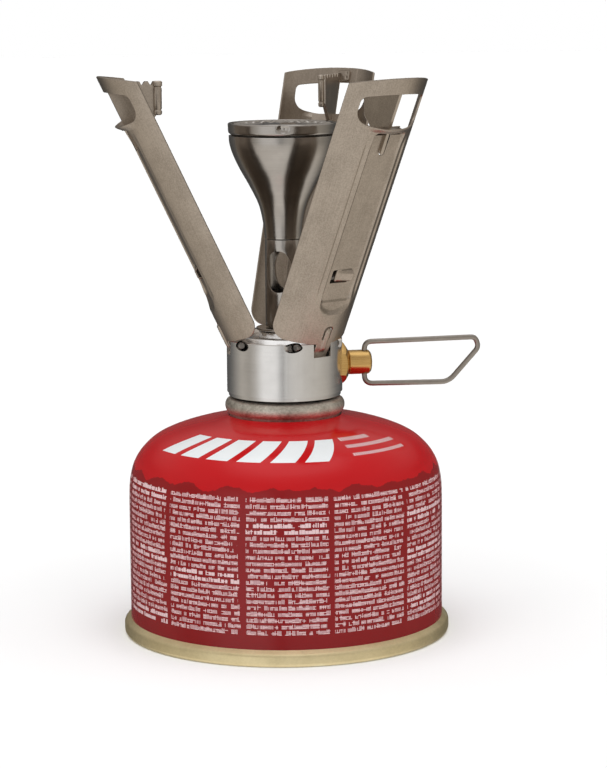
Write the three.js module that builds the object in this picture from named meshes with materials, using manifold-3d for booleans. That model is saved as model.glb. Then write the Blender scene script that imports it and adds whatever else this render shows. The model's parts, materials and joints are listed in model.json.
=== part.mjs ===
// Folding canister stove on a 100 g gas canister, in millimetres, +Z up.
// The stove stands on the ground plane z = 0, its legs open and its wire handle along +X.
import * as THREE from 'three';
import { mergeVertices } from 'three/addons/utils/BufferGeometryUtils.js';
import Module from 'manifold-3d';

const wasm = await Module();
wasm.setup();

// Gas canister
const CANISTER_R = 45;
const CANISTER_WALL = 0.8;
const RIM_R = 46.9;
const RIM_H = 3.9;
const SHOULDER_Z = 43.3;
const NECK_Z = 62.4;
const NECK_R = 16.4;
const BEAD_R = 17.1;
const BEAD_Z = 65.7;
const BEAD_TUBE = 2.1;
const NIPPLE_R = 5.5;
const NIPPLE_TOP = 67.6;

// Stove body
const BODY_R = 16.5;
const BODY_BOTTOM = 68.5;
const BODY_TOP = 86;
const BODY_CHAMFER = 1.4;
const BOSS_R = 10.5;
const BOSS_BOTTOM = 61;
const THREAD_BORE_R = 5.9;

// Legs: three sheet-metal half shells that hinge on tangential pins
const LEG_AZIMUTHS = [60, 180, 300];
const HINGE_R = 13.8;
const HINGE_Z = 83.8;
const PIN_R = 1;
const PIN_HALF_LENGTH = 8;
const LEG_OPEN = 25.3;
const SHELL_R = 16.5;
const SHEET = 0.6;
const SHELL_HALF_ARC = 59;
const SHELL_BOTTOM = 2;
const LEG_TOP_Z = 159.4;
const LEG_TOP_SLOPE = 0.11;
const WINDOW_HALF_WIDTH = 11.3;
const WINDOW_BOTTOM = 70.1;
const BAND_HEIGHT = 4.8;
const PANEL_HALF_WIDTH = 5.3;
const PANEL_FACE = 15.1;
const PANEL_BOTTOM = 15.5;
const PANEL_TOP = 67.4;
const SLOT_TOP = 68.3;
const TOOTH_HALF_WIDTH = 2.7;
const NOTCH_HALF_WIDTH = 3.3;

// Blades: the toothed pan supports, one inside each leg
const BLADE = 0.8;
const BLADE_TOP_Z = 158.1;
const BLADE_OUTER = 15.5;
const HEM_R0 = 34.1;
const HEM_R1 = 36.7;
const HEM_BOTTOM_Z = 148.6;
const TOOTH_PITCH = 2.43;
const TOOTH_DEPTH = 0.9;
const TOOTH_COUNT = 4;

// Burner
const TUBE_R = 5.3;
const TUBE_WALL = 0.6;
const TUBE_BOTTOM = 88.3;
const BELL_BOTTOM = 113.3;
const BELL_TOP = 142.4;
const CAP_R = 15.5;
const CAP_BOTTOM = 142.8;
const CAP_TOP = 146;
const AIR_HOLE_Z = 104;

// Valve and wire handle, along +X
const VALVE_Z = 76.9;
const NUT_START = 16.8;
const NUT_END = 19.3;
const NUT_R = 6.2;
const KNOB_R = 3.35;
const KNOB_END = 25.5;
const WIRE_R = 0.75;
const HANDLE_PIVOT = 23.3;
const HANDLE_TOP = 83.0;
const HANDLE_BOTTOM = 70.1;
const HANDLE_TIP = 57.9;

const REGULATOR_AZIMUTH = 120;

const HANDLE_REACH = HANDLE_TIP + WIRE_R;
const OPEN = THREE.MathUtils.degToRad(LEG_OPEN);
const LEG_RISE = (LEG_TOP_Z - HINGE_Z + (SHELL_R - HINGE_R) * Math.sin(OPEN)) / Math.cos(OPEN);
const LEG_REACH = HINGE_R + (SHELL_R - HINGE_R) * Math.cos(OPEN) + LEG_RISE * Math.sin(OPEN);
// The frame's origin is under the middle of the whole outline, so the canister's axis lies off it.
const AXIS_X = (LEG_REACH - HANDLE_REACH) / 2;

const steel = new THREE.MeshStandardMaterial({ color: 0x8f857a, roughness: 0.38, metalness: 1 });
const brushed = new THREE.MeshStandardMaterial({ color: 0xa8a29a, roughness: 0.3, metalness: 1 });
const aluminium = new THREE.MeshStandardMaterial({ color: 0xc9c7c2, roughness: 0.35, metalness: 1 });
const brass = new THREE.MeshStandardMaterial({ color: 0xc8964b, roughness: 0.28, metalness: 1 });
const tinplate = new THREE.MeshStandardMaterial({ color: 0xb3ada3, roughness: 0.4, metalness: 1 });
const redPaint = new THREE.MeshStandardMaterial({ color: 0xb4141a, roughness: 0.3, metalness: 0 });
const goldLacquer = new THREE.MeshStandardMaterial({ color: 0xb0a069, roughness: 0.35, metalness: 1 });
const rubber = new THREE.MeshStandardMaterial({ color: 0x1c1c1c, roughness: 0.8, metalness: 0 });
const plastic = new THREE.MeshStandardMaterial({ color: 0xdedbd0, roughness: 0.5, metalness: 0 });

// ---------- solids ----------

function solid(geometry) {
  const bare = geometry.clone();
  bare.deleteAttribute('normal');
  bare.deleteAttribute('uv');
  const merged = mergeVertices(bare, 1e-4);
  return new wasm.Manifold(new wasm.Mesh({
    numProp: 3,
    vertProperties: new Float32Array(merged.attributes.position.array),
    triVerts: new Uint32Array(merged.index.array),
  }));
}

function geometryOf(manifold) {
  const mesh = manifold.getMesh();
  const geometry = new THREE.BufferGeometry();
  geometry.setAttribute('position', new THREE.BufferAttribute(new Float32Array(mesh.vertProperties), 3));
  geometry.setIndex(new THREE.BufferAttribute(new Uint32Array(mesh.triVerts), 1));
  geometry.computeVertexNormals();
  return geometry;
}

function joined(first, ...others) {
  return others.reduce((sum, other) => sum.add(other), first);
}

function cut(first, ...others) {
  return others.reduce((rest, other) => rest.subtract(other), first);
}

// A solid of revolution about Z; the profile is a list of [radius, z] on the axis or closed.
function turned(profile, segments = 36) {
  const points = profile.map(([r, z]) => new THREE.Vector2(r, z));
  const geometry = new THREE.LatheGeometry(points, segments);
  geometry.rotateX(Math.PI / 2);
  return geometry;
}

// A closed ring section: the first point is repeated at the end.
function turnedRing(profile, segments = 36) {
  return turned([...profile, profile[0]], segments);
}

function disc(r, z0, z1, segments = 36) {
  return turned([[0, z0], [r, z0], [r, z1], [0, z1]], segments);
}

function ring(r0, r1, z0, z1, segments = 36) {
  return turnedRing([[r0, z0], [r1, z0], [r1, z1], [r0, z1]], segments);
}

function block(x0, x1, y0, y1, z0, z1) {
  const geometry = new THREE.BoxGeometry(x1 - x0, y1 - y0, z1 - z0);
  geometry.translate((x0 + x1) / 2, (y0 + y1) / 2, (z0 + z1) / 2);
  return geometry;
}

// An outline drawn in the Y-Z plane, extruded along X from x0 to x1.
function alongX(shape, x0, x1, curveSegments = 8) {
  const geometry = new THREE.ExtrudeGeometry(shape, {
    depth: x1 - x0, bevelEnabled: false, curveSegments,
  });
  geometry.rotateX(Math.PI / 2);
  geometry.rotateZ(Math.PI / 2);
  geometry.translate(x0, 0, 0);
  return geometry;
}

// An outline drawn in the X-Z plane, extruded along Y and centred on y = 0.
function alongY(shape, thickness, curveSegments = 8) {
  const geometry = new THREE.ExtrudeGeometry(shape, {
    depth: thickness, bevelEnabled: false, curveSegments,
  });
  geometry.rotateX(Math.PI / 2);
  geometry.translate(0, thickness / 2, 0);
  return geometry;
}

function rodAlongX(r, x0, x1, segments = 24) {
  const geometry = disc(r, x0, x1, segments);
  geometry.rotateY(Math.PI / 2);
  return geometry;
}

function rodAlongY(r, halfLength, segments = 16) {
  const geometry = disc(r, -halfLength, halfLength, segments);
  geometry.rotateX(Math.PI / 2);
  return geometry;
}

function roundedRect(w0, w1, h0, h1, lower, upper) {
  const shape = new THREE.Shape();
  shape.moveTo(w0 + lower, h0);
  shape.lineTo(w1 - lower, h0);
  shape.absarc(w1 - lower, h0 + lower, lower, -Math.PI / 2, 0, false);
  shape.lineTo(w1, h1 - upper);
  shape.absarc(w1 - upper, h1 - upper, upper, 0, Math.PI / 2, false);
  shape.lineTo(w0 + upper, h1);
  shape.absarc(w0 + upper, h1 - upper, upper, Math.PI / 2, Math.PI, false);
  shape.lineTo(w0, h0 + lower);
  shape.absarc(w0 + lower, h0 + lower, lower, Math.PI, 1.5 * Math.PI, false);
  return shape;
}

function named(name, geometry, material) {
  const mesh = new THREE.Mesh(geometry, material.clone());
  mesh.name = name;
  return mesh;
}

// ---------- gas canister ----------

function shoulderPoints(inset) {
  const outline = new THREE.SplineCurve([
    [44.9, SHOULDER_Z - 1], [44.5, 45.5], [43.5, 49.1], [41.4, 52.6], [37.8, 56],
    [33, 58.4], [26.4, 60.5], [19.8, 61.9],
  ].map(([r, z]) => new THREE.Vector2(r, z)));
  return outline.getPoints(8).map((point) => [point.x - inset * 0.6, point.y - inset * 0.8]);
}

function canisterShell() {
  const outside = [[CANISTER_R, RIM_H + 0.3], [CANISTER_R, SHOULDER_Z - 3], ...shoulderPoints(0)];
  const mouth = [[NECK_R - 0.2, NECK_Z], [NECK_R - 1.1, NECK_Z - 0.8]];
  const inside = [...shoulderPoints(CANISTER_WALL).reverse(),
    [CANISTER_R - CANISTER_WALL, SHOULDER_Z - 3], [CANISTER_R - CANISTER_WALL, RIM_H + 0.3]];
  return turnedRing([...outside, ...mouth, ...inside], 40);
}

function canisterBase() {
  const rim = [[44.2, 0], [46.3, 0], [RIM_R, 0.6], [RIM_R, RIM_H - 0.6], [46.4, RIM_H], [43.9, RIM_H]];
  const domeTop = [[43.2, 6.2], [40, 8.6], [25, 11.4], [0, 12.6]];
  const domeBottom = [[0, 11.9], [25, 10.7], [40, 7.9], [43, 5]];
  return turned([...domeTop.reverse(), ...rim.reverse(), ...domeBottom.reverse()].reverse(), 40);
}

function valveCup() {
  const bead = [];
  for (let i = 0; i <= 6; i += 1) {
    const angle = -Math.PI * 0.35 + (i / 6) * Math.PI * 1.1;
    bead.push([BEAD_R - BEAD_TUBE + BEAD_TUBE * Math.cos(angle), BEAD_Z + BEAD_TUBE * Math.sin(angle)]);
  }
  const well = [[12.7, 66], [12.4, 58], [11.6, 57.2], [7, 57.2], [6.8, 60], [6, 60], [6, 56.4]];
  return turnedRing([...bead, ...well, [12.4, 56.4], [13.3, 57.6], [13.5, 62.9]], 32);
}

function threadedNipple() {
  return turnedRing([[2.4, 56.6], [5.3, 56.6], [NIPPLE_R, 57.2], [NIPPLE_R, NIPPLE_TOP - 0.6],
    [NIPPLE_R - 0.6, NIPPLE_TOP], [2.4, NIPPLE_TOP]], 24);
}

function springCoil(r, wire, z0, z1, turns) {
  const points = [];
  const steps = turns * 10;
  for (let i = 0; i <= steps; i += 1) {
    const angle = (i / 10) * 2 * Math.PI;
    points.push(new THREE.Vector3(r * Math.cos(angle), r * Math.sin(angle), z0 + (z1 - z0) * (i / steps)));
  }
  const section = new THREE.Shape();
  section.absarc(0, 0, wire, 0, 2 * Math.PI, false);
  return new THREE.ExtrudeGeometry(section, {
    steps, bevelEnabled: false, curveSegments: 3, extrudePath: new THREE.CatmullRomCurve3(points),
  });
}

function canister() {
  const group = new THREE.Group();
  group.add(
    named('canister_shell', canisterShell(), redPaint),
    named('canister_base', canisterBase(), goldLacquer),
    named('valve_cup', valveCup(), tinplate),
    named('threaded_nipple', threadedNipple(), tinplate),
    named('canister_valve_housing', turned(
      [[0, 44], [5, 44], [5, 56.2], [4, 56.2], [4, 46.2], [0, 46.2]],
      24,
    ), plastic),
    named('canister_valve_spring', springCoil(2.6, 0.35, 46.8, 52.6, 4), brushed),
    named('canister_valve_stem', turned(
      [[0, 53.2], [3.2, 53.2], [3.2, 54.3], [1.5, 54.5], [1.5, 65], [0, 65]],
      16,
    ), plastic),
    named('canister_gasket', ring(2.5, 5, NIPPLE_TOP + 0.2, NIPPLE_TOP + 0.9, 24), rubber),
  );
  return group;
}

// ---------- stove body, regulator and valve ----------

function stoveBody() {
  const outside = turned([[0, BOSS_BOTTOM], [BOSS_R - 0.5, BOSS_BOTTOM], [BOSS_R, BOSS_BOTTOM + 0.5],
    [BOSS_R, BODY_BOTTOM], [15.5, BODY_BOTTOM], [15.5, 69.6], [BODY_R, 70.6],
    [BODY_R, BODY_TOP - BODY_CHAMFER], [BODY_R - BODY_CHAMFER, BODY_TOP], [12.2, BODY_TOP],
    [11.2, BODY_TOP - 1], [7.2, BODY_TOP - 1], [7.2, BODY_TOP + 0.8], [0, BODY_TOP + 0.8]], 48);
  const inlet = disc(THREAD_BORE_R, BOSS_BOTTOM - 1, 70, 30);
  const passage = disc(1.7, 69, 73.2, 16);
  const valveBore = rodAlongX(3.7, 3.6, BODY_R + 2, 20);
  const regulatorBore = rodAlongX(6, 7, BODY_R + 2, 24);
  const gasWay = rodAlongX(1.7, -1, 8, 12);
  const nozzleWay = rodAlongX(1.7, 0, 5, 12);
  const jetBore = disc(2.6, 75, BODY_TOP + 2, 20);
  regulatorBore.rotateZ(THREE.MathUtils.degToRad(REGULATOR_AZIMUTH));
  gasWay.rotateZ(THREE.MathUtils.degToRad(REGULATOR_AZIMUTH));
  for (const bore of [valveBore, regulatorBore, gasWay, nozzleWay]) {
    bore.translate(0, 0, VALVE_Z);
  }
  const parts = [inlet, passage, valveBore, regulatorBore, gasWay, nozzleWay, jetBore,
    disc(1.7, 72, 78, 16)].map(solid);
  for (const azimuth of LEG_AZIMUTHS) {
    const angle = THREE.MathUtils.degToRad(azimuth);
    const notch = block(14.6, 18, -NOTCH_HALF_WIDTH, NOTCH_HALF_WIDTH, 80.5, BODY_TOP + 1);
    const pocket = block(11.5, 15, -NOTCH_HALF_WIDTH, NOTCH_HALF_WIDTH, 81.6, BODY_TOP + 1);
    const pinBore = rodAlongY(PIN_R + 0.25, 12);
    pinBore.translate(HINGE_R, 0, HINGE_Z);
    for (const tool of [notch, pocket, pinBore]) {
      tool.rotateZ(angle);
      parts.push(solid(tool));
    }
  }
  return geometryOf(cut(solid(outside), ...parts));
}

function alongValve(geometry) {
  geometry.translate(0, 0, VALVE_Z);
  return geometry;
}

function glandNut() {
  const blank = turnedRing([[2.5, NUT_START], [NUT_R - 0.1, NUT_START], [NUT_R + 0.6, NUT_START + 0.5],
    [NUT_R + 0.6, NUT_END - 0.7], [NUT_R - 1, NUT_END], [2.5, NUT_END]]);
  const hexagon = new THREE.CylinderGeometry(NUT_R, NUT_R, 8, 6);
  hexagon.rotateX(Math.PI / 2);
  hexagon.translate(0, 0, (NUT_START + NUT_END) / 2);
  const thread = ring(2.5, 3.4, NUT_START - 5, NUT_START + 0.5, 24);
  const nut = geometryOf(joined(solid(blank).intersect(solid(hexagon)), solid(thread)));
  nut.rotateY(Math.PI / 2);
  return alongValve(nut);
}

function valveSpindle() {
  const spindle = turned([[0, 4.4], [1.2, 7], [1.6, 7], [1.6, 9.2], [2.1, 9.2], [2.1, NUT_END + 0.4],
    [KNOB_R, NUT_END + 0.4], [KNOB_R, KNOB_END - 1], [KNOB_R - 1, KNOB_END], [0, KNOB_END]], 24);
  spindle.rotateY(Math.PI / 2);
  const crossHole = disc(WIRE_R + 0.2, -5, 5, 16);
  crossHole.translate(HANDLE_PIVOT, 0, 0);
  return alongValve(geometryOf(cut(solid(spindle), solid(crossHole))));
}

function spindleORing() {
  const oRing = ring(1.75, 3.5, 7.2, 8.9, 20);
  oRing.rotateY(Math.PI / 2);
  return alongValve(oRing);
}

// A bent wire through the given [x, z] corners, with the corners rounded by a radius.
function bentWire(corners, radius) {
  const path = new THREE.CurvePath();
  let from = new THREE.Vector3(corners[0][0], 0, corners[0][1]);
  for (let i = 1; i < corners.length; i += 1) {
    const corner = new THREE.Vector3(corners[i][0], 0, corners[i][1]);
    if (i === corners.length - 1) {
      path.add(new THREE.LineCurve3(from, corner));
      break;
    }
    const next = new THREE.Vector3(corners[i + 1][0], 0, corners[i + 1][1]);
    const before = corner.clone().add(from.clone().sub(corner).setLength(radius));
    const after = corner.clone().add(next.sub(corner).setLength(radius));
    path.add(new THREE.LineCurve3(from, before));
    path.add(new THREE.QuadraticBezierCurve3(before, corner, after));
    from = after;
  }
  return path;
}

function wireHandle() {
  const section = new THREE.Shape();
  section.absarc(0, 0, WIRE_R, 0, 2 * Math.PI, false);
  const path = bentWire([
    [HANDLE_PIVOT, VALVE_Z + 1.2],
    [HANDLE_PIVOT + 0.2, HANDLE_TOP - 0.2],
    [HANDLE_TIP - 1.2, HANDLE_TOP],
    [HANDLE_TIP, HANDLE_TOP - 3],
    [HANDLE_TIP - 9, HANDLE_BOTTOM],
    [HANDLE_PIVOT + 0.2, HANDLE_BOTTOM + 0.4],
    [HANDLE_PIVOT, VALVE_Z - 1.2],
  ], 1.9);
  return new THREE.ExtrudeGeometry(section, {
    steps: 44, bevelEnabled: false, curveSegments: 4, extrudePath: path,
  });
}

// Turns a piece drawn along Z to lie in the regulator's side bore.
function inRegulator(geometry) {
  geometry.rotateY(Math.PI / 2);
  geometry.rotateZ(THREE.MathUtils.degToRad(REGULATOR_AZIMUTH));
  return alongValve(geometry);
}

function regulatorCap() {
  return inRegulator(turned([[0, 11.6], [5.7, 11.6], [5.7, 14.6], [5, 15.1], [0, 15.1]], 24));
}

function regulatorDiaphragm() {
  return inRegulator(turned([[0, 7.4], [5.7, 7.4], [5.7, 8.1], [2.4, 8.1], [2.4, 8.8], [0, 8.8]], 24));
}

function regulatorSpring() {
  return inRegulator(springCoil(1.6, 0.25, 9.2, 11.2, 2));
}

function openerPin() {
  return turned([[0, 65.3], [1, 65.3], [1, 68.9], [1.4, 69.2], [1.4, 72], [0, 72]], 14);
}

function bodyAndValve() {
  const group = new THREE.Group();
  group.add(
    named('stove_body', stoveBody(), aluminium),
    named('inlet_seal', ring(3, 5.6, 68.9, 69.7, 24), rubber),
    named('opener_pin', openerPin(), brass),
    named('regulator_diaphragm', regulatorDiaphragm(), rubber),
    named('regulator_spring', regulatorSpring(), brushed),
    named('regulator_cap', regulatorCap(), aluminium),
    named('gland_nut', glandNut(), brass),
    named('valve_spindle', valveSpindle(), brass),
    named('spindle_o_ring', spindleORing(), rubber),
    named('wire_handle', wireHandle(), brushed),
  );
  return group;
}

// ---------- burner ----------

function bellOutline() {
  const outline = new THREE.SplineCurve([
    [TUBE_R, BELL_BOTTOM], [5.8, 117.8], [7, 122.9], [9.5, 128.1], [12.3, 133.1], [14.2, 137.2],
    [15.1, 140.3], [15.25, BELL_TOP],
  ].map(([r, z]) => new THREE.Vector2(r, z)));
  return outline.getPoints(9).map((point) => [point.x, point.y]);
}

function burnerBell() {
  const outside = bellOutline();
  const inside = outside.map(([r, z]) => [r - TUBE_WALL, z]).reverse();
  return turnedRing([...outside, ...inside], 32);
}

function mixingTube() {
  const tube = ring(TUBE_R - TUBE_WALL, TUBE_R, TUBE_BOTTOM, BELL_BOTTOM - 0.3, 32);
  const oval = roundedRect(-3.7, 3.7, AIR_HOLE_Z - 5.8, AIR_HOLE_Z + 5.8, 3.6, 3.6);
  const hole = alongX(oval, -8, 8);
  hole.rotateZ(THREE.MathUtils.degToRad(60));
  return geometryOf(cut(solid(tube), solid(hole)));
}

function burnerCap() {
  return turnedRing([[14.2, CAP_BOTTOM], [15, CAP_BOTTOM], [CAP_R, CAP_BOTTOM + 0.5],
    [CAP_R, CAP_TOP - 0.3], [CAP_R - 0.3, CAP_TOP], [13.6, CAP_TOP], [13.6, CAP_TOP - 0.6],
    [14.2, CAP_TOP - 0.8]], 32);
}

function flamePlate() {
  const plate = solid(turned([[0, 144], [13, 144], [13, 144.8], [6, 144.8], [5, 145.2], [0, 145.2]], 36));
  const ports = [];
  const rows = [[11.2, 15], [8.4, 9]];
  for (const [radius, count] of rows) {
    for (let i = 0; i < count; i += 1) {
      const port = disc(0.6, 143, 146, 5);
      port.translate(radius, 0, 0);
      port.rotateZ((i / count) * 2 * Math.PI);
      ports.push(solid(port));
    }
  }
  return geometryOf(cut(plate, ...ports));
}

function jet() {
  return turned([[0, 78], [2.2, 78], [2.2, 87], [3.4, 87], [3.4, 89.6], [2, 90.4], [2, 92], [0, 92]], 6);
}

function burner() {
  const group = new THREE.Group();
  group.add(
    named('tube_foot', ring(4.2, 8, 87.2, 87.9, 32), brushed),
    named('jet', jet(), brass),
    named('mixing_tube', mixingTube(), brushed),
    named('burner_bell', burnerBell(), brushed),
    named('burner_cap', burnerCap(), brushed),
    named('flame_plate', flamePlate(), brushed),
  );
  return group;
}

// ---------- legs ----------
// A leg is drawn upright, radius along +X from the stove's axis and height from its hinge pin.

// Where a point at radius r and height z lies on the upright leg when the leg is open.
function onLeg(r, z) {
  const dr = r - HINGE_R;
  const dz = z - HINGE_Z;
  return [HINGE_R + dr * Math.cos(OPEN) - dz * Math.sin(OPEN), dr * Math.sin(OPEN) + dz * Math.cos(OPEN)];
}

function legTop(u) {
  const slope = Math.tan(OPEN + Math.atan(LEG_TOP_SLOPE));
  return LEG_RISE + (u - SHELL_R) * slope;
}

function shellSector() {
  const half = THREE.MathUtils.degToRad(SHELL_HALF_ARC);
  const shape = new THREE.Shape();
  shape.absarc(0, 0, SHELL_R, -half, half, false);
  shape.absarc(0, 0, SHELL_R - SHEET, half, -half, true);
  const geometry = new THREE.ExtrudeGeometry(shape, {
    depth: LEG_RISE + 4, bevelEnabled: false, curveSegments: 16,
  });
  return solid(geometry);
}

function legSideOutline() {
  const edge = 14.6;
  const corner = 4.2;
  const shape = new THREE.Shape();
  shape.moveTo(-edge + corner, SHELL_BOTTOM);
  shape.lineTo(edge - corner, SHELL_BOTTOM);
  shape.quadraticCurveTo(edge - 0.6, SHELL_BOTTOM, edge, SHELL_BOTTOM + 6);
  shape.lineTo(edge, LEG_RISE + 6);
  shape.lineTo(-edge, LEG_RISE + 6);
  shape.lineTo(-edge, SHELL_BOTTOM + 6);
  shape.quadraticCurveTo(-edge + 0.6, SHELL_BOTTOM, -edge + corner, SHELL_BOTTOM);
  return shape;
}

function underLegTop(drop) {
  const shape = new THREE.Shape();
  shape.moveTo(0, -20);
  shape.lineTo(24, -20);
  shape.lineTo(24, legTop(24) - drop);
  shape.lineTo(0, legTop(0) - drop);
  return solid(alongY(shape, 40));
}

function pressedPanel() {
  const slab = solid(block(PANEL_FACE - SHEET, SHELL_R - 0.2, -PANEL_HALF_WIDTH - SHEET,
    PANEL_HALF_WIDTH + SHEET, PANEL_BOTTOM - SHEET, PANEL_TOP));
  return slab.intersect(solid(disc(SHELL_R - 0.1, 0, 80, 48)));
}

function hingeEye() {
  const eye = rodAlongY(1.75, TOOTH_HALF_WIDTH, 20);
  eye.translate(HINGE_R, 0, 0);
  const web = block(HINGE_R, SHELL_R - 0.1, -TOOTH_HALF_WIDTH, TOOTH_HALF_WIDTH, 0.2, SHELL_BOTTOM + 0.8);
  const tongue = block(SHELL_R - SHEET, SHELL_R - 0.05, -TOOTH_HALF_WIDTH, TOOTH_HALF_WIDTH, -1.9, 3);
  return [eye, web, tongue].map(solid);
}

function legShell() {
  const windowOutline = roundedRect(-WINDOW_HALF_WIDTH, WINDOW_HALF_WIDTH, WINDOW_BOTTOM,
    LEG_RISE + 9, 3.2, 1);
  const window = solid(alongX(windowOutline, 2, 24)).intersect(underLegTop(BAND_HEIGHT));
  const recess = solid(block(PANEL_FACE, 18, -PANEL_HALF_WIDTH, PANEL_HALF_WIDTH, PANEL_BOTTOM,
    SLOT_TOP));
  const slot = solid(block(13, 18, -PANEL_HALF_WIDTH, PANEL_HALF_WIDTH, PANEL_TOP, SLOT_TOP));
  const bladeSlot = solid(alongX(roundedRect(-0.8, 0.8, 61.4, PANEL_TOP + 2, 0.7, 0.7), 13, 18, 3));
  const tabSides = solid(block(13, 18, -3.3, 3.3, 21.6, 25.6));
  const tab = solid(block(12, 19, -2.6, 2.6, 22.4, 27));
  const pinBore = rodAlongY(PIN_R + 0.25, 6);
  pinBore.translate(HINGE_R, 0, 0);
  const curved = shellSector().intersect(solid(alongX(legSideOutline(), 2, 24)));
  const trimmed = joined(curved, pressedPanel(), ...hingeEye()).intersect(underLegTop(0));
  const openings = [window, recess, slot, bladeSlot, cut(tabSides, tab), solid(pinBore)];
  return geometryOf(cut(trimmed, ...openings));
}

function bladeOutline() {
  const shape = new THREE.Shape();
  const to = (r, z) => shape.lineTo(...onLeg(r, z));
  shape.moveTo(...onLeg(HEM_R0, HEM_BOTTOM_Z));
  to(HEM_R0, BLADE_TOP_Z);
  to(HEM_R1 + 0.1, BLADE_TOP_Z);
  for (let i = 0; i < TOOTH_COUNT; i += 1) {
    const r = HEM_R1 + 0.1 + i * TOOTH_PITCH;
    to(r + 0.35, BLADE_TOP_Z - TOOTH_DEPTH);
    to(r + 0.85, BLADE_TOP_Z - TOOTH_DEPTH);
    to(r + 1.35, BLADE_TOP_Z - 0.15);
    to(r + 1.9, BLADE_TOP_Z);
    to(r + TOOTH_PITCH, BLADE_TOP_Z - 0.15);
  }
  shape.lineTo(BLADE_OUTER, legTop(BLADE_OUTER) - 0.4);
  shape.lineTo(BLADE_OUTER, 62.8);
  shape.lineTo(13.6, 64.2);
  return shape;
}

function legBlade() {
  const plate = solid(alongY(bladeOutline(), BLADE));
  const hem = new THREE.Shape();
  hem.moveTo(...onLeg(HEM_R0, HEM_BOTTOM_Z));
  hem.lineTo(...onLeg(HEM_R0, BLADE_TOP_Z));
  hem.lineTo(...onLeg(HEM_R1, BLADE_TOP_Z));
  hem.lineTo(...onLeg(HEM_R1, HEM_BOTTOM_Z));
  const top = legTop(15);
  const flange = solid(block(14.4, 15, -4.1, 0, top - 4.2, top - 0.8));
  return geometryOf(joined(plate, solid(alongY(hem, 2)), flange));
}

function legAndPin(number, azimuth) {
  const around = new THREE.Group();
  around.rotation.z = THREE.MathUtils.degToRad(azimuth);
  const hinge = new THREE.Group();
  hinge.position.set(HINGE_R, 0, HINGE_Z);
  hinge.rotation.y = OPEN;
  const leg = new THREE.Group();
  leg.position.set(-HINGE_R, 0, 0);
  leg.add(named(`leg_${number}_shell`, legShell(), steel), named(`leg_${number}_blade`, legBlade(), steel));
  hinge.add(leg);
  const pin = named(`hinge_pin_${number}`, rodAlongY(PIN_R, PIN_HALF_LENGTH), brushed);
  pin.position.set(HINGE_R, 0, HINGE_Z);
  around.add(hinge, pin);
  return around;
}

const stove = new THREE.Group();
stove.position.x = AXIS_X;
stove.add(canister(), bodyAndValve(), burner());
LEG_AZIMUTHS.forEach((azimuth, index) => stove.add(legAndPin(index + 1, azimuth)));

export default stove;
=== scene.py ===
import json
import math

import bpy
import numpy as np
from mathutils import Matrix, Vector


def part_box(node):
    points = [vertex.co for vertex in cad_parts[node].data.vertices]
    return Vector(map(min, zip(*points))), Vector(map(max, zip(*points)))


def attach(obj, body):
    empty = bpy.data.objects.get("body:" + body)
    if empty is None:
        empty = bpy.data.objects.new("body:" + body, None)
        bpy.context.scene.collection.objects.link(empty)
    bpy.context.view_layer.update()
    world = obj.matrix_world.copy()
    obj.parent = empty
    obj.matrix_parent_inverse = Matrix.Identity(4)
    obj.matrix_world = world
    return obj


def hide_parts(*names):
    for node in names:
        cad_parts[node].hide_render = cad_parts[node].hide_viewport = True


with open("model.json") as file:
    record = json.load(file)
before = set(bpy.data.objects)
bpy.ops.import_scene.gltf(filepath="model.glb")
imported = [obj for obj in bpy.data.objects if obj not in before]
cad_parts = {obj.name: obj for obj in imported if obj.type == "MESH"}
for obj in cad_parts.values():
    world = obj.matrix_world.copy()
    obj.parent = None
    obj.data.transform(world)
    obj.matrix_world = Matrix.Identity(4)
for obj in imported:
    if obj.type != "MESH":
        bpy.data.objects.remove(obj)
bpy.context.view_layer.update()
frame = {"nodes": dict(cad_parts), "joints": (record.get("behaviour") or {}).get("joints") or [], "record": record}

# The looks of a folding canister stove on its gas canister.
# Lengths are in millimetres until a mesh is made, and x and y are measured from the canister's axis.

MM = 0.001


def mm_box(node):
    """A CAD node's lowest and highest corners, in millimetres from the canister's axis."""
    low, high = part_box(node)
    return [(corner / MM - AXIS) for corner in (low, high)]


LOW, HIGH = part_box("canister_shell")
AXIS = Vector(((LOW.x + HIGH.x) / 2, (LOW.y + HIGH.y) / 2, 0)) / MM
JOINTS = {joint["name"]: joint for joint in frame["joints"]}
SLOTS = {part["node"]: part["material_slot"] for part in frame["record"]["subparts"]}

# Driving sizes, most of them from the frame
CANISTER_R = mm_box("canister_shell")[1].x
RIM_R = mm_box("canister_base")[1].x
BODY_TOP = 86.0
BODY_R = mm_box("stove_body")[1].y
BODY_BOTTOM = 68.5
CAP_TOP = mm_box("burner_cap")[1].z
CAP_R = mm_box("burner_cap")[1].y
BELL_BOTTOM = mm_box("burner_bell")[0].z
BELL_TOP = mm_box("burner_bell")[1].z
TUBE_R = mm_box("mixing_tube")[1].y
TUBE_BOTTOM = mm_box("mixing_tube")[0].z
FOOT_BOTTOM, FOOT_TOP = (corner.z for corner in mm_box("tube_foot"))
FOOT_R = mm_box("tube_foot")[1].y
VALVE_Z = JOINTS["valve_turn"]["pos_m"][2] / MM
HANDLE_PIVOT = JOINTS["handle_fold"]["pos_m"][0] / MM - AXIS.x
HANDLE_LOW, HANDLE_HIGH = mm_box("wire_handle")
KNOB_END = mm_box("valve_spindle")[1].x
HINGE = Vector(JOINTS["leg_2_fold"]["pos_m"]) / MM - AXIS
HINGE_R = -HINGE.x
HINGE_Z = HINGE.z
LEG_TOP_Z = mm_box("leg_2_shell")[1].z

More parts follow.
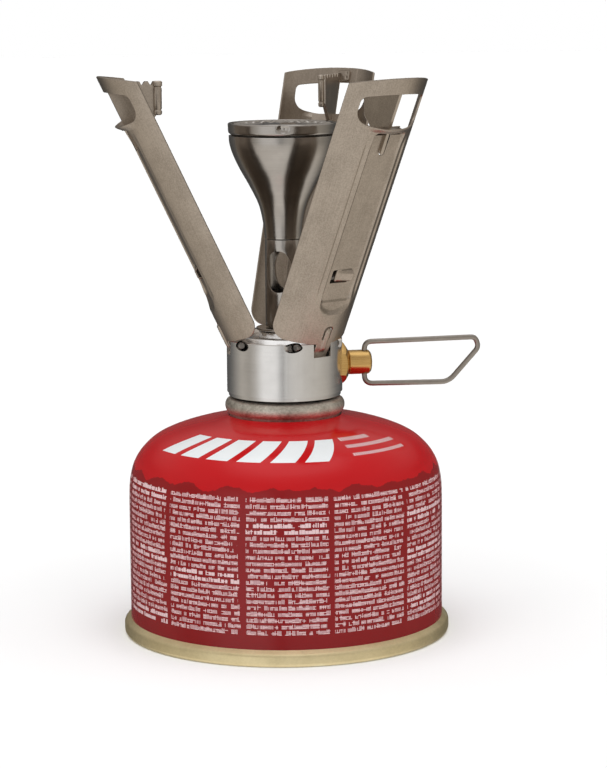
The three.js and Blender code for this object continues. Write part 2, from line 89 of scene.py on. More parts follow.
# Sizes of the sheet-metal legs and blades
OPEN = math.radians(25.3)
SHELL_R = 16.5
SHEET = 0.6
SHELL_HALF_ARC = math.radians(59)
SHELL_BOTTOM = 2.0
TOP_SLOPE = 0.11
BAND = 4.8
WINDOW_HALF = 12.4
WINDOW_BOTTOM = 70.1
PANEL_HALF = 5.3
PANEL_FACE = 14.75
PANEL_BACK = PANEL_FACE - SHEET
PANEL_BOTTOM = 15.1
PANEL_TOP = 67.4
SLOT_TOP = 68.3
TONGUE_HALF = 2.7
TONGUE_BOTTOM = -2.6
TAB_BOTTOM = 21.0
TAB_TOP = 25.1
# Half-width, foot and top of the trays behind the panel's slots, and of the dark plates in them that are painted
# shade
TRAYS = ((5.0, 63.6, 68.5), (4.4, TAB_BOTTOM - 1.0, TAB_TOP + 1.0))
BLADE = 0.8
BLADE_OUTER = 15.45
BLADE_TOP_Z = 158.1
HEM_INNER = 34.1
HEM_OUTER = 36.7
HEM_BOTTOM_Z = 148.6
TOOTH_PITCH = 2.43
TOOTH_DEPTH = 0.95
PIN_R = 1.0
WIRE_R = 0.75
SHOULDER = ((44.9, 42.3), (44.5, 45.5), (43.5, 49.1), (41.4, 52.6), (37.8, 56.0),
            (33.0, 58.4), (26.4, 60.5), (19.8, 61.9))
BELL = ((TUBE_R, BELL_BOTTOM), (5.8, 117.8), (7.0, 122.9), (9.5, 128.1), (12.3, 133.1),
        (14.2, 137.2), (15.1, 140.3), (15.25, BELL_TOP))

# The camera: its place from the axis, its turn, pitch and roll, and its lens.
# FRONT is the side of the axis that faces it, in degrees.
CAMERA_AZIMUTH = math.radians(-11.0)
FRONT = -101.0
CAMERA_DISTANCE = 738.24
CAMERA_HEIGHT = 184.88
CAMERA_PITCH = math.radians(8.754)
CAMERA_YAW = math.radians(0.417)
CAMERA_ROLL = math.radians(-0.432)
CAMERA_LENS = 122.2


# Turns for pieces made about Z: lying along Y, along the valve, and as the hinge pin of a leg at +X
LYING = Matrix.Rotation(math.pi / 2, 4, "X")
ALONG_VALVE = Matrix.Translation((0, 0, VALVE_Z)) @ Matrix.Rotation(math.pi / 2, 4, "Y")
AT_HINGE = Matrix.Translation((HINGE_R, 0, HINGE_Z)) @ LYING


# ---------- meshes ----------

def in_frame(points):
    """Points given in millimetres about the axis, as the frame's metres."""
    return ((np.asarray(points, float) + np.array(AXIS)) * MM).tolist()


def shade(mesh, sharp):
    """Smooth shading that breaks at edges sharper than an angle in degrees."""
    mesh.polygons.foreach_set("use_smooth", [True] * len(mesh.polygons))
    mesh.set_sharp_from_angle(angle=math.radians(sharp))


def new_piece(name, solid, look, body):
    """A smooth-shaded piece that rides on a body."""
    points, faces = solid
    mesh = bpy.data.meshes.new(name)
    mesh.from_pydata(in_frame(points), [], [tuple(face) for face in faces])
    mesh.validate()
    shade(mesh, 32)
    piece = bpy.data.objects.new(name, mesh)
    bpy.context.scene.collection.objects.link(piece)
    mesh.materials.append(MATERIALS[look])
    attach(piece, body)
    return piece


def stand_in(node, body, solid, look=None):
    """The finer piece that takes a CAD node's place."""
    slot = SLOTS[node]
    piece = new_piece(f"{node}_fine", solid, look or slot, body)
    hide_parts(node)
    return piece


def rounded(points, radius, steps=4):
    """The same open outline with each inner corner rounded by up to that radius."""
    points = [np.asarray(point, float) for point in points]
    out = [points[0]]
    for before, corner, after in zip(points, points[1:], points[2:]):
        to_before = before - corner
        to_after = after - corner
        length_b = np.linalg.norm(to_before)
        length_a = np.linalg.norm(to_after)
        cosine = np.dot(to_before, to_after) / (length_a * length_b)
        if cosine < -0.995:
            out.append(corner)
            continue
        reach = min(radius, 0.45 * length_a, 0.45 * length_b)
        start = corner + to_before / length_b * reach
        end = corner + to_after / length_a * reach
        for t in np.linspace(0, 1, steps + 1):
            out.append((1 - t) ** 2 * start + 2 * t * (1 - t) * corner + t ** 2 * end)
    out.append(points[-1])
    return out


def spline(points, count):
    """Points along a smooth curve through the given ones (Catmull-Rom)."""
    points = [np.asarray(point, float) for point in points]
    padded = [2 * points[0] - points[1], *points, 2 * points[-1] - points[-2]]
    out = []
    for p0, p1, p2, p3 in zip(padded, padded[1:], padded[2:], padded[3:]):
        for t in np.linspace(0, 1, count, endpoint=False):
            out.append(0.5 * (2 * p1 + (p2 - p0) * t + (2 * p0 - 5 * p1 + 4 * p2 - p3) * t ** 2
                              + (3 * p1 - p0 - 3 * p2 + p3) * t ** 3))
    out.append(points[-1])
    return out


def lathe(profile, segments=96, closed=True):
    """Points and faces of a profile of (radius, height) turned about Z; closed joins its two ends."""
    ring_of = []
    points = []
    angles = np.linspace(0, 2 * math.pi, segments, endpoint=False)
    for radius, height in profile:
        if radius < 1e-6:
            ring_of.append([len(points)] * segments)
            points.append((0, 0, height))
            continue
        ring_of.append(range(len(points), len(points) + segments))
        points.extend((radius * math.cos(a), radius * math.sin(a), height) for a in angles)
    faces = []
    pairs = list(zip(ring_of, ring_of[1:]))
    if closed:
        pairs.append((ring_of[-1], ring_of[0]))
    for lower, upper in pairs:
        for i in range(segments):
            j = (i + 1) % segments
            face = list(dict.fromkeys((lower[i], lower[j], upper[j], upper[i])))
            if len(face) > 2:
                faces.append(face)
    return points, faces


def turned(points, matrix):
    """The points after a matrix, in millimetres."""
    matrix = np.array(matrix)
    return np.asarray(points, float) @ matrix[:3, :3].T + matrix[:3, 3]


def moved(solid, matrix):
    """A closed solid after a matrix, in millimetres."""
    points, faces = solid
    return turned(points, matrix), faces


def flipped(solid):
    """The same solid with its faces turned the other way."""
    points, faces = solid
    return points, [tuple(reversed(face)) for face in faces]


def rod(radius, low, high, segments=32):
    """A plain round rod about Z."""
    return lathe([(0, low), (radius, low), (radius, high), (0, high)], segments, closed=False)


def skin(rings, sides):
    """Faces round a stack of rings of points, with both ends closed."""
    faces = []
    for i in range(rings - 1):
        for k in range(sides):
            j = (k + 1) % sides
            faces.append((i * sides + k, i * sides + j, (i + 1) * sides + j, (i + 1) * sides + k))
    faces.append(tuple(reversed(range(sides))))
    faces.append(tuple(range((rings - 1) * sides, rings * sides)))
    return faces


def tube(path, radius, sides=16):
    """A round wire with rounded ends along a list of points."""
    path = [np.asarray(point, float) for point in path]
    first = path[0] - path[1]
    last = path[-1] - path[-2]
    first /= np.linalg.norm(first)
    last /= np.linalg.norm(last)
    centres = [(path[0] + first * radius * 0.5, 0.35), (path[0] + first * radius * 0.35, 0.75)]
    centres += [(point, 1.0) for point in path]
    centres += [(path[-1] + last * radius * 0.35, 0.75), (path[-1] + last * radius * 0.5, 0.35)]
    points = []
    normal = None
    for i, (centre, scale) in enumerate(centres):
        ahead = centres[min(i + 1, len(centres) - 1)][0] - centres[max(i - 1, 0)][0]
        ahead = ahead / np.linalg.norm(ahead)
        if normal is None:
            normal = np.cross(ahead, (0.3, 1.0, 0.2))
        normal = normal - ahead * np.dot(normal, ahead)
        normal /= np.linalg.norm(normal)
        side = np.cross(ahead, normal)
        for k in range(sides):
            angle = 2 * math.pi * k / sides
            points.append(centre + radius * scale * (normal * math.cos(angle) + side * math.sin(angle)))
    return points, skin(len(centres), sides)


# Signed distances of flat outlines, negative inside

def inside_both(a, b, radius):
    """Where both are inside, with the corner between them rounded."""
    overlap = np.hypot(np.maximum(radius + a, 0), np.maximum(radius + b, 0))
    return np.minimum(-radius, np.maximum(a, b)) + overlap


def rectangle(x, y, half, low, high, radius):
    """A rectangle from -half to half and from low to high, with rounded corners."""
    dx = np.abs(x) - half + radius
    dy = np.abs(y - (low + high) / 2) - (high - low) / 2 + radius
    return np.minimum(np.maximum(dx, dy), 0) + np.hypot(np.maximum(dx, 0), np.maximum(dy, 0)) - radius


def below_line(x, y, start, end):
    """Negative on the right-hand side of the line from start to end."""
    dx = end[0] - start[0]
    dy = end[1] - start[1]
    return ((y - start[1]) * dx - (x - start[0]) * dy) / math.hypot(dx, dy)


def grid_lines(limits, cell, fine_at):
    """Lines a cell apart, and three times closer near the given places."""
    lines = [limits[0]]
    while lines[-1] < limits[1]:
        near = any(abs(lines[-1] - place) < 0.6 for place in fine_at)
        lines.append(lines[-1] + (cell / 3 if near else cell))
    return np.array(lines)


def flat_pattern(outline, x_range, y_range, cell, fine):
    """A grid cut along the zero line of an outline: points, polygons and boundary edges."""
    xs = grid_lines(x_range, cell, fine[0])
    ys = grid_lines(y_range, cell, fine[1])
    grid_x, grid_y = np.meshgrid(xs, ys, indexing="ij")
    values = outline(grid_x, grid_y)
    values = np.where(np.abs(values) < 0.03 * cell, -0.03 * cell, values)
    index = {}
    points = []
    on_edge = []

    def vertex(key, x, y, edge):
        if key not in index:
            index[key] = len(points)
            points.append((x, y))
            on_edge.append(edge)
        return index[key]

    polygons = []
    inside = values < 0
    count = inside[:-1, :-1].astype(int) + inside[1:, :-1] + inside[1:, 1:] + inside[:-1, 1:]
    for i, j in zip(*np.nonzero(count)):
        corners = ((i, j), (i + 1, j), (i + 1, j + 1), (i, j + 1))
        polygon = []
        for a, b in zip(corners, corners[1:] + corners[:1]):
            if inside[a]:
                polygon.append(vertex(a, xs[a[0]], ys[a[1]], False))
            if inside[a] != inside[b]:
                t = values[a] / (values[a] - values[b])
                x = xs[a[0]] + t * (xs[b[0]] - xs[a[0]])
                y = ys[a[1]] + t * (ys[b[1]] - ys[a[1]])
                polygon.append(vertex(tuple(sorted((a, b))), x, y, True))
        polygons.append(polygon)
    sides = {(a, b) for p in polygons for a, b in zip(p, p[1:] + p[:1])}
    boundary = [(a, b) for a, b in sides if on_edge[a] and on_edge[b] and (b, a) not in sides]
    return np.array(points), np.array(on_edge), polygons, boundary


def sheet_metal(outline, x_range, y_range, cell, place, thickness, edge=0.11, fine=((), ())):
    """A sheet cut to an outline and bent by place(x, y), with its edges broken by a small chamfer."""
    flat, on_edge, polygons, boundary = flat_pattern(
        lambda x, y: outline(x, y) + edge, x_range, y_range, cell, fine)
    step = 0.02
    rim = np.nonzero(on_edge)[0]
    for _ in range(3):
        x, y = flat[rim].T
        value = outline(x, y) + edge
        across = outline(x + step, y) + edge - value
        up = outline(x, y + step) + edge - value
        slope = np.stack((across, up)) / step
        size = np.maximum((slope ** 2).sum(0), 0.2)
        flat[rim] -= (np.clip(value, -cell, cell) * slope / size).T
    outward = (slope / np.maximum(np.sqrt((slope ** 2).sum(0)), 1e-6)).T
    outer = flat[rim] + outward * edge

    def surface(points):
        x, y = points.T
        here = place(x, y)
        normal = np.cross(place(x + step, y) - here, place(x, y + step) - here)
        return here, normal / np.linalg.norm(normal, axis=1)[:, None]

    top, normal = surface(flat)
    lip, lip_normal = surface(outer)
    bottom = top - normal * thickness
    lip_top = lip - lip_normal * edge
    lip_bottom = lip - lip_normal * (thickness - edge)
    count = len(flat)
    where = {vertex: k for k, vertex in enumerate(rim)}
    points = np.concatenate((top, bottom, lip_top, lip_bottom))
    faces = [tuple(p) for p in polygons]
    faces += [tuple(reversed([v + count for v in p])) for p in polygons]
    for a, b in boundary:
        lip_a = 2 * count + where[a]
        lip_b = 2 * count + where[b]
        low_a = lip_a + len(rim)
        low_b = lip_b + len(rim)
        faces.append((b, a, lip_a, lip_b))
        faces.append((lip_b, lip_a, low_a, low_b))
        faces.append((low_b, low_a, a + count, b + count))
    return points, faces


def signed_power(value, power):
    """A value from -1 to 1 raised to a power, with its sign kept."""
    return math.copysign(abs(value) ** power, value)


def block(x0, x1, y0, y1, z0, z1):
    points = [(x, y, z) for x in (x0, x1) for y in (y0, y1) for z in (z0, z1)]
    faces = [(0, 1, 3, 2), (4, 6, 7, 5), (0, 4, 5, 1), (2, 3, 7, 6), (0, 2, 6, 4), (1, 5, 7, 3)]
    return points, faces


def prism(outline, low, high):
    """A closed flat outline raised along Z."""
    points = [(x, y, z) for z in (low, high) for x, y in outline]
    return points, skin(2, len(outline))


def merged(*solids):
    """Several closed solids as one."""
    points = []
    faces = []
    for more, more_faces in solids:
        offset = len(points)
        points.extend(np.asarray(more, float).tolist())
        faces.extend(tuple(v + offset for v in face) for face in more_faces)
    return points, faces


def carve(piece, cutters, operation="DIFFERENCE"):
    """Cuts a piece by closed solids given in millimetres about the axis."""
    for points, faces in cutters:
        mesh = bpy.data.meshes.new("cutter")
        mesh.from_pydata(in_frame(points), [], list(faces))
        cutter = bpy.data.objects.new("cutter", mesh)
        bpy.context.scene.collection.objects.link(cutter)
        modifier = piece.modifiers.new("carve", "BOOLEAN")
        modifier.operation = operation
        modifier.solver = "EXACT"
        modifier.object = cutter
        apply_modifiers(piece)
        bpy.data.objects.remove(cutter)


def apply_modifiers(piece):
    """Turns a piece's modifiers into plain mesh."""
    bpy.context.view_layer.update()
    evaluated = piece.evaluated_get(bpy.context.evaluated_depsgraph_get())
    mesh = bpy.data.meshes.new_from_object(evaluated)
    piece.modifiers.clear()
    old = piece.data
    piece.data = mesh
    bpy.data.meshes.remove(old)


def soften(piece, width, angle=35):
    """Rounds a piece's sharp edges by a width in millimetres."""
    modifier = piece.modifiers.new("soften", "BEVEL")
    modifier.width = width * MM
    modifier.segments = 2
    modifier.limit_method = "ANGLE"
    modifier.angle_limit = math.radians(angle)
    modifier.use_clamp_overlap = True
    apply_modifiers(piece)
    shade(piece.data, 40)


# ---------- materials ----------

class Nodes:
    """A node tree, built by short calls."""

    def __init__(self, tree):
        self.tree = tree

    def add(self, kind, **settings):
        node = self.tree.nodes.new(kind)
        for key, value in settings.items():
            setattr(node, key, value)
        return node

    def feed(self, socket, value):
        """Sets a socket, or links another node's output to it."""
        if isinstance(value, bpy.types.NodeSocket):
            self.tree.links.new(value, socket)
        elif socket.type == "RGBA":
            socket.default_value = (*value, 1)
        else:
            socket.default_value = value

    def math(self, operation, *values, clamp=False):
        node = self.add("ShaderNodeMath", operation=operation, use_clamp=clamp)
        for socket, value in zip(node.inputs, values):
            self.feed(socket, value)
        return node.outputs[0]

    def product(self, *values):
        result = values[0]
        for value in values[1:]:
            result = self.math("MULTIPLY", result, value)
        return result

    def between(self, value, low, high):
        return self.product(self.math("GREATER_THAN", value, low), self.math("LESS_THAN", value, high))

    def near(self, value, centre, reach):
        return self.math("LESS_THAN", self.math("ABSOLUTE", self.math("SUBTRACT", value, centre)), reach)

    def split(self, vector):
        node = self.add("ShaderNodeSeparateXYZ")
        self.feed(node.inputs[0], vector)
        return node.outputs

    def scaled(self, vector, scale):
        node = self.add("ShaderNodeMapping")
        node.inputs["Scale"].default_value = scale
        self.feed(node.inputs["Vector"], vector)
        return node.outputs[0]

    def noise(self, vector, scale, detail=3.0, roughness=0.5):
        node = self.add("ShaderNodeTexNoise")
        node.inputs["Scale"].default_value = scale
        node.inputs["Detail"].default_value = detail
        node.inputs["Roughness"].default_value = roughness
        self.feed(node.inputs["Vector"], vector)
        return node.outputs["Fac"]

    def random_at(self, x, y, seed):
        cell = self.add("ShaderNodeCombineXYZ")
        self.feed(cell.inputs[0], x)
        self.feed(cell.inputs[1], y)
        cell.inputs[2].default_value = seed
        white = self.add("ShaderNodeTexWhiteNoise", noise_dimensions="3D")
        self.feed(white.inputs["Vector"], cell.outputs[0])
        return white.outputs["Value"]

    def spread(self, value, low, high, to_low=0.0, to_high=1.0):
        node = self.add("ShaderNodeMapRange")
        self.feed(node.inputs["Value"], value)
        for key, number in zip(("From Min", "From Max", "To Min", "To Max"), (low, high, to_low, to_high)):
            node.inputs[key].default_value = number
        return node.outputs[0]

    def mix(self, factor, a, b):
        node = self.add("ShaderNodeMix", data_type="RGBA")
        for socket, value in zip((node.inputs[0], node.inputs[6], node.inputs[7]), (factor, a, b)):
            self.feed(socket, value)
        return node.outputs[2]


class Surface(Nodes):
    """A material and its node tree."""

    def __init__(self, name):
        self.material = bpy.data.materials.new(name)
        self.material.use_nodes = True
        super().__init__(self.material.node_tree)
        self.shader = self.tree.nodes["Principled BSDF"]

    def set(self, name, value):
        self.feed(self.shader.inputs[name], value)

    def position(self):
        return self.add("ShaderNodeTexCoord").outputs["Object"]

    def bump(self, height, strength, distance):
        node = self.add("ShaderNodeBump")
        node.inputs["Strength"].default_value = strength
        node.inputs["Distance"].default_value = distance
        self.feed(node.inputs["Height"], height)
        self.set("Normal", node.outputs[0])


def metal(name, light, dark, rough, grain, bump=0.15, metallic=1.0, edge_highlight=0.35, attribute=None):
    """Worked metal: stretched grain, cloudy colour, painted highlights on sharp edges and painted shade in
    creases.
    """
    n = Surface(name)
    place = n.position()
    if attribute:
        place = n.add("ShaderNodeAttribute", attribute_name=attribute).outputs["Vector"]
    fine = n.noise(n.scaled(place, grain), 1.0, 4.0, 0.6)
    cloud = n.spread(n.noise(place, 110.0, 4.0, 0.6), 0.3, 0.7, -0.15, 0.6)
    tone = n.math("ADD", n.spread(fine, 0.3, 0.7, 0.0, 0.55), cloud, clamp=True)
    if attribute:
        speck = n.spread(n.noise(place, 2600.0, 2.0), 0.35, 0.65, -0.35, 0.35)
        tone = n.math("ADD", tone, speck, clamp=True)
    pointed = n.add("ShaderNodeNewGeometry").outputs["Pointiness"]
    # Painted highlight: sharp convex edges are lightened towards a brighter copy of the light colour.
    edge = n.spread(pointed, 0.52, 0.6, 0.0, edge_highlight)
    # Painted shade: concave creases and hollows are darkened towards a fifth of the dark colour.
    crease_shade = n.spread(pointed, 0.47, 0.4, 0.0, 0.75)
    bright = tuple(min(1.0, channel * 1.25 + 0.08) for channel in light)
    shadow_colour = tuple(channel * 0.2 for channel in dark)
    n.set("Base Color", n.mix(crease_shade, n.mix(edge, n.mix(tone, dark, light), bright), shadow_colour))
    n.set("Metallic", metallic)
    n.set("Roughness", n.spread(fine, 0.25, 0.75, rough - 0.06, rough + 0.08))
    n.bump(fine, bump, 0.00004)
    return n.material


TURNED = (60.0, 60.0, 9000.0)
UPRIGHT = (3800.0, 3800.0, 110.0)
TUMBLED = (1100.0, 1100.0, 1900.0)
# Name, light and dark colour, roughness, grain, and where given the bump, metallic and painted highlight on sharp
# edges
METALS = {
    "brushed_steel": ("burner_steel", (0.52, 0.49, 0.46), (0.4, 0.375, 0.35), 0.19, TURNED, 0.25),
    "wire": ("wire_steel", (0.42, 0.38, 0.34), (0.3, 0.27, 0.24), 0.38, TUMBLED),
    "pin": ("pin_steel", (0.3, 0.28, 0.26), (0.15, 0.14, 0.13), 0.4, TUMBLED),
    "aluminium": ("body_aluminium", (0.84, 0.825, 0.815), (0.7, 0.685, 0.675), 0.17, TURNED, 0.3),
    "brass": ("valve_brass", (0.8, 0.52, 0.2), (0.62, 0.38, 0.13), 0.24, TURNED, 0.12),
    "tinplate": ("cup_tinplate", (0.86, 0.83, 0.75), (0.3, 0.27, 0.22), 0.5, TUMBLED, 1.0),
    "gold_lacquer": ("rim_gold", (0.95, 0.82, 0.52), (0.78, 0.66, 0.39), 0.42, TUMBLED, 0.1),
    "rubber": ("seal_rubber", (0.035, 0.035, 0.035), (0.02, 0.02, 0.02), 0.75, TUMBLED, 0.2, 0.0, 0.05),
    "valve_plastic": ("valve_nylon", (0.8, 0.78, 0.7), (0.68, 0.66, 0.6), 0.45, TUMBLED, 0.1, 0.0, 0.1),
}


# ---------- canister print ----------

ROW = 1.757
PRINT_BOTTOM = 8.3
PRINT_ROWS = 22
COLUMN = math.radians(31.3)
COLUMN_START = math.radians(FRONT - 46.4)
LETTER = 0.95


def printed_marks(n, angle, height):
    """Rows of unreadable marks in columns, each mark a few upright strokes and level bars."""
    column = n.math("DIVIDE", n.math("SUBTRACT", angle, COLUMN_START), COLUMN)
    column_index = n.math("FLOOR", column)
    across = n.math("FRACT", column)
    line = n.math("DIVIDE", n.math("SUBTRACT", height, PRINT_BOTTOM), ROW)
    line_index = n.math("FLOOR", line)
    up = n.math("FRACT", line)
    letter = n.math("DIVIDE", n.product(across, COLUMN * CANISTER_R), LETTER)
    along = n.math("FRACT", letter)
    place = n.math("MULTIPLY_ADD", column_index, 61.0, n.math("FLOOR", letter))

    def chance(seed, share):
        """Whether this letter's throw is above a share."""
        return n.math("GREATER_THAN", n.random_at(place, line_index, seed), share)

    pair_of_lines = n.math("FLOOR", n.product(line_index, 0.5))
    bold = n.math("GREATER_THAN", n.random_at(column_index, pair_of_lines, 9.0), 0.86)
    weight = n.math("MULTIPLY_ADD", bold, 0.07, 0.085)
    parts = [n.product(n.near(along, centre, weight), chance(1.0 + k, 0.2))
             for k, centre in enumerate((0.14, 0.46, 0.78))]
    parts += [n.product(n.near(up, centre, 0.05), chance(5.0 + k, 0.64))
              for k, centre in enumerate((0.26, 0.46, 0.66))]
    strokes = parts[0]
    for part in parts[1:]:
        strokes = n.math("MAXIMUM", strokes, part)
    top = n.math("MULTIPLY_ADD", chance(12.0, 0.7), 0.16, 0.74)
    line_end = n.math("SUBTRACT", 0.975, n.product(n.random_at(column_index, line_index, 30.0), 0.05))
    return n.product(strokes, n.between(up, 0.2, top), chance(20.0, 0.09),
                     n.between(across, 0.03, line_end), n.between(line, 0.0, float(PRINT_ROWS)))


def shoulder_shapes(n, angle, height):
    """Six plain slanted blocks, and three thin broken lines beside them."""
    slant = n.math("MULTIPLY_ADD", n.math("SUBTRACT", height, 57.5), -0.034, angle)
    start = math.radians(FRONT - 61.0)
    block_at = n.math("DIVIDE", n.math("SUBTRACT", slant, start), math.radians(14.2))
    result = n.product(n.between(n.math("FRACT", block_at), 0.14, 0.86), n.between(block_at, 0.0, 6.0),
                       n.between(height, 55.4, 59.7))
    for k, (z, end) in enumerate(((59.5, 50.0), (58.1, 62.0), (56.4, 62.0))):
        dashes = n.math("LESS_THAN", n.math("FRACT", n.product(angle, 38.0 + 7 * k)), 0.62)
        reach = n.between(angle, math.radians(FRONT + 30.0), math.radians(FRONT + end))
        line = n.product(n.between(height, z - 0.3, z + 0.3), dashes, reach, 0.75)
        result = n.math("MAXIMUM", result, line)
    return result


def canister_paint():
    """Glossy red lacquer, darker below a ragged edge, with its print and its shoulder's plain shapes."""
    n = Surface("canister_red")
    uv = n.add("ShaderNodeUVMap", uv_map="print").outputs[0]
    angle, height, _ = n.split(uv)
    wave = n.product(n.math("PINGPONG", n.product(angle, 7.0), 1.0), 1.2)
    ragged = n.product(n.noise(n.scaled(uv, (5.5, 0.0, 0.0)), 1.0, 4.0, 0.6), 5.5)
    dark_top = n.math("ADD", n.math("ADD", wave, ragged), PRINT_BOTTOM + ROW * PRINT_ROWS - 1.6)
    colour = n.mix(n.noise(n.position(), 60.0), (0.49, 0.0035, 0.007), (0.455, 0.003, 0.006))
    colour = n.mix(n.math("LESS_THAN", height, dark_top), colour, (0.235, 0.004, 0.006))
    colour = n.mix(printed_marks(n, angle, height), colour, (0.82, 0.6, 0.61))
    colour = n.mix(shoulder_shapes(n, angle, height), colour, (0.74, 0.76, 0.77))
    n.set("Base Color", colour)
    wobble = n.noise(n.position(), 45.0, 2.0)
    n.set("Roughness", n.spread(wobble, 0.3, 0.7, 0.13, 0.2))
    n.set("Specular IOR Level", 0.36)
    n.bump(wobble, 0.06, 0.0004)
    return n.material


MATERIALS = {name: metal(*values) for name, values in METALS.items()}
MATERIALS["stainless"] = metal("leg_stainless", (0.49, 0.425, 0.36), (0.35, 0.3, 0.25), 0.33, UPRIGHT, 0.35,
                               attribute="upright")
MATERIALS["red_paint"] = canister_paint()


# ---------- canister ----------

def shoulder_profile(inset):
    """The shoulder's curve, set in square to itself."""
    points = spline(SHOULDER, 6)
    out = []
    for before, here, after in zip(points[:1] + points[:-1], points, points[1:] + points[-1:]):
        along = after - before
        along = along / np.linalg.norm(along)
        out.append(here - inset * np.array((along[1], -along[0])))
    return out


def canister_shell():
    wall = 0.8
    bottom = mm_box("canister_shell")[0].z
    outside = [(CANISTER_R - 0.2, bottom), (CANISTER_R, bottom + 0.3), (CANISTER_R, 20), (CANISTER_R, 38)]
    outside += [tuple(p) for p in shoulder_profile(0)]
    outside += [(17.2, 62.5), (16.4, 62.9), (16.0, 62.7)]
    inside = [(15.4, 61.7)] + [tuple(p) for p in reversed(shoulder_profile(wall))]
    inside += [(CANISTER_R - wall, 38), (CANISTER_R - wall, bottom)]
    print_on(stand_in("canister_shell", "canister", lathe(outside + inside, 160)))


def print_on(piece):
    """Maps the print by angle and height, with its seam round the back."""
    layer = piece.data.uv_layers.new(name="print")
    seam = math.radians(79.0)
    for polygon in piece.data.polygons:
        centre = polygon.center / MM - AXIS
        middle = (math.atan2(centre.y, centre.x) - seam) % (2 * math.pi) + seam - 2 * math.pi
        for loop in polygon.loop_indices:
            p = piece.data.vertices[piece.data.loops[loop].vertex_index].co / MM - AXIS
            angle = math.atan2(p.y, p.x)
            angle += 2 * math.pi * round((middle - angle) / (2 * math.pi))
            layer.data[loop].uv = (angle, p.z)


def canister_base():
    outline = [(0, 11.9), (15, 11.5), (30, 10.1), (40, 7.9), (43.2, 5.2), (43.9, 1.0), (44.6, 0.0),
               (46.2, 0.0), (RIM_R, 0.7), (RIM_R, 2.9), (46.5, 3.5), (45.6, 4.1), (45.02, 4.5)]
    back = [(43.9, 4.4), (43.5, 6.2), (40, 8.6), (30, 10.8), (15, 12.2), (0, 12.6)]
    profile = rounded(outline, 0.8) + rounded(back, 0.6)
    stand_in("canister_base", "canister", lathe(profile, 160, closed=False))


def valve_cup():
    bead = [(12.7, 66.6), (13.4, 67.5), (14.6, 67.85), (15.8, 67.75), (16.7, 67.1), (17.12, 66.1),
            (17.12, 65.2), (16.8, 64.2), (16.1, 63.5)]
    below = [(15.85, 62.9), (15.7, 62.0), (14.0, 62.0), (13.4, 57.6), (12.4, 56.4), (6.0, 56.4)]
    inside = [(6.0, 60.0), (6.8, 60.0), (7.0, 57.2), (11.6, 57.2), (12.4, 58.0), (12.7, 66.6)]
    profile = rounded(bead + below + inside, 0.6)[:-1]
    stand_in("valve_cup", "canister", lathe(profile, 128))


# ---------- stove body, valve and handle ----------

def stove_body():
    lower = [(0, 61), (10, 61), (10.5, 61.5), (10.5, BODY_BOTTOM), (15.95, BODY_BOTTOM),
             (16.05, 68.6), (16.1, 69.6)]
    upper = [(BODY_R, 69.6), (BODY_R, BODY_TOP - 1.4), (BODY_R - 1.4, BODY_TOP), (12.2, BODY_TOP),
             (11.2, BODY_TOP - 1), (7.2, BODY_TOP - 1), (7.2, BODY_TOP + 0.8), (0, BODY_TOP + 0.8)]
    solid = lathe(lower + rounded(upper, 0.25), 180, closed=False)
    piece = stand_in("stove_body", "stove", solid)
    inlet = [(0, 60), (5.9, 60), (5.9, 70), (1.7, 70), (1.7, 73.2), (0, 73.2)]
    regulator_side = Matrix.Rotation(math.radians(120), 4, "Z")
    cutters = [lathe(inlet, 48, closed=False),
               moved(rod(3.7, 3.6, 20, 48), ALONG_VALVE),
               moved(rod(6, 7, 20, 64), regulator_side @ ALONG_VALVE),
               rod(2.6, 77, 90)]
    for number in (1, 2, 3):
        turn = Matrix.Rotation(leg_azimuth(number), 4, "Z")
        cutters.append(moved(block(14.6, 18, -3.15, 3.15, 80.7, 88), turn))
        cutters.append(moved(block(11.5, 15, -3.3, 3.3, 80.7, 88), turn))
        cutters.append(moved(rod(1.4, -12, 12), turn @ AT_HINGE))
    carve(piece, cutters)
    piece.data.set_sharp_from_angle(angle=math.radians(30))


def gland_nut():
    start = 15.2
    end = 18.15
    radius = 6.15
    outline = [(2.5, start), (radius + 0.1, start), (radius + 0.1, end - 1.55), (radius - 0.5, end - 0.95),
               (4.25, end - 0.05), (4.0, end), (2.5, end)]
    piece = stand_in("gland_nut", "stove", moved(lathe(outline, 96), ALONG_VALVE))
    hexagon = [(radius * math.cos(k * math.pi / 3), radius * math.sin(k * math.pi / 3)) for k in range(6)]
    carve(piece, [moved(prism(hexagon, start - 2, end + 2), ALONG_VALVE)], "INTERSECT")
    soften(piece, 0.12, 25)


def valve_spindle():
    knob = 3.5
    end = KNOB_END - 0.35
    outline = [(0, 4.4), (1.2, 7), (1.6, 7), (1.6, 9.2), (2.1, 9.2), (2.1, 18.3), (knob - 0.3, 18.35),
               (knob, 18.6), (knob, end - 0.7), (knob - 0.7, end), (0, end)]
    solid = lathe(rounded(outline, 0.35), 72, closed=False)
    piece = stand_in("valve_spindle", "spindle", moved(solid, ALONG_VALVE))
    carve(piece, [moved(rod(WIRE_R + 0.15, -5, 5), Matrix.Translation((HANDLE_PIVOT, 0, VALVE_Z)))])
    soften(piece, 0.1)


def wire_handle():
    tip = HANDLE_HIGH.x - WIRE_R
    top = HANDLE_HIGH.z - WIRE_R
    bottom = HANDLE_LOW.z + WIRE_R
    corners = [(HANDLE_PIVOT, 0, VALVE_Z + 1.2), (HANDLE_PIVOT + 0.2, 0, top - 0.3), (tip - 1.0, 0, top),
               (tip, 0, top - 3), (tip - 9, 0, bottom), (HANDLE_PIVOT + 0.2, 0, bottom + 0.4),
               (HANDLE_PIVOT, 0, VALVE_Z - 1.2)]
    stand_in("wire_handle", "handle", tube(rounded(corners, 2.4, 8), WIRE_R), "wire")


# ---------- burner ----------

TUBE_WALL = 0.6


def tube_foot():
    outline = [(4.2, FOOT_BOTTOM), (FOOT_R, FOOT_BOTTOM), (FOOT_R, FOOT_TOP), (4.2, FOOT_TOP)]
    stand_in("tube_foot", "stove", lathe(rounded(outline, 0.2), 96))


